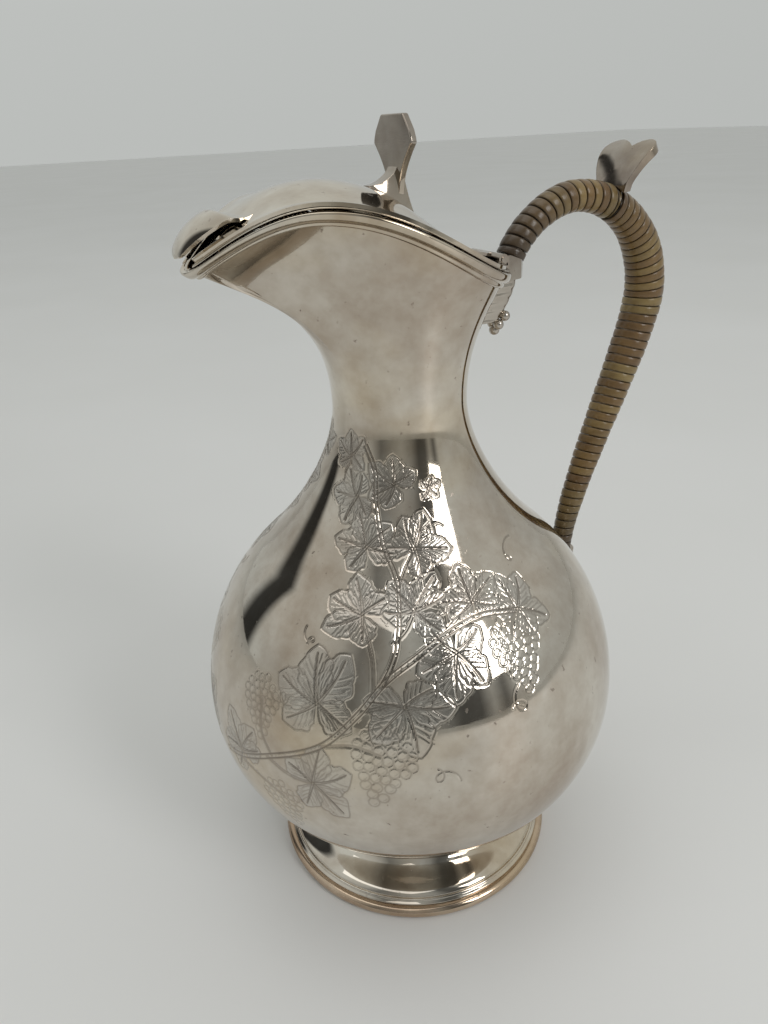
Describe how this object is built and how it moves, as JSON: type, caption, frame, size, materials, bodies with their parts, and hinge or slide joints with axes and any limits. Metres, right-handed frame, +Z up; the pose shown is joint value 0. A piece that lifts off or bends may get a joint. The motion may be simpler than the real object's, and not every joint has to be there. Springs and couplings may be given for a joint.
{
  "type": "covered water jug",
  "caption": "Covered serving jug with a round bulb, a narrow neck, a cowled pouring lip, a hinged lid with a thumbpiece and a cane-wrapped loop handle.",
  "frame": {"origin": "centre of the foot on the table", "axes": "+Z up the jug, -X towards the spout, +X towards the handle, Y across the jug along the hinge axis"},
  "size_m": [0.1884, 0.15, 0.2666],
  "materials": {
    "silver_plate": "old hand-polished silver plate with light tarnish",
    "worn_plate": "silver plate worn through to a warm base metal",
    "cast_silver": "cast and plated fittings, softly polished",
    "cane": "varnished split cane, glossy, darker at both ends"
  },
  "bodies": {
    "jug": {"body_bulb": "silver_plate", "neck_and_spout": "silver_plate", "mouth_band": "silver_plate", "foot_skirt": "silver_plate", "foot_step_wire": "silver_plate", "foot_base_wire": "worn_plate", "body_hinge_knuckles": "cast_silver", "hinge_pin": "cast_silver", "upper_handle_socket": "cast_silver", "handle_drop": "cast_silver", "handle_core": "cast_silver", "cane_wrap_arch": "cane", "cane_wrap_side": "cane", "thumb_rest": "cast_silver", "lower_handle_socket": "cast_silver"},
    "lid": {"lid_shell": "silver_plate", "lid_edge_wire": "silver_plate", "spout_hood": "silver_plate", "thumbpiece": "cast_silver", "lid_hinge_leaf": "cast_silver"}
  },
  "joints": [
    {"name": "lid_hinge", "type": "hinge", "parent": "jug", "child": "lid", "pos_m": [0.0346, 0, 0.2244], "axis": [0, 1, 0], "range_deg": [0, 80]}
  ]
}
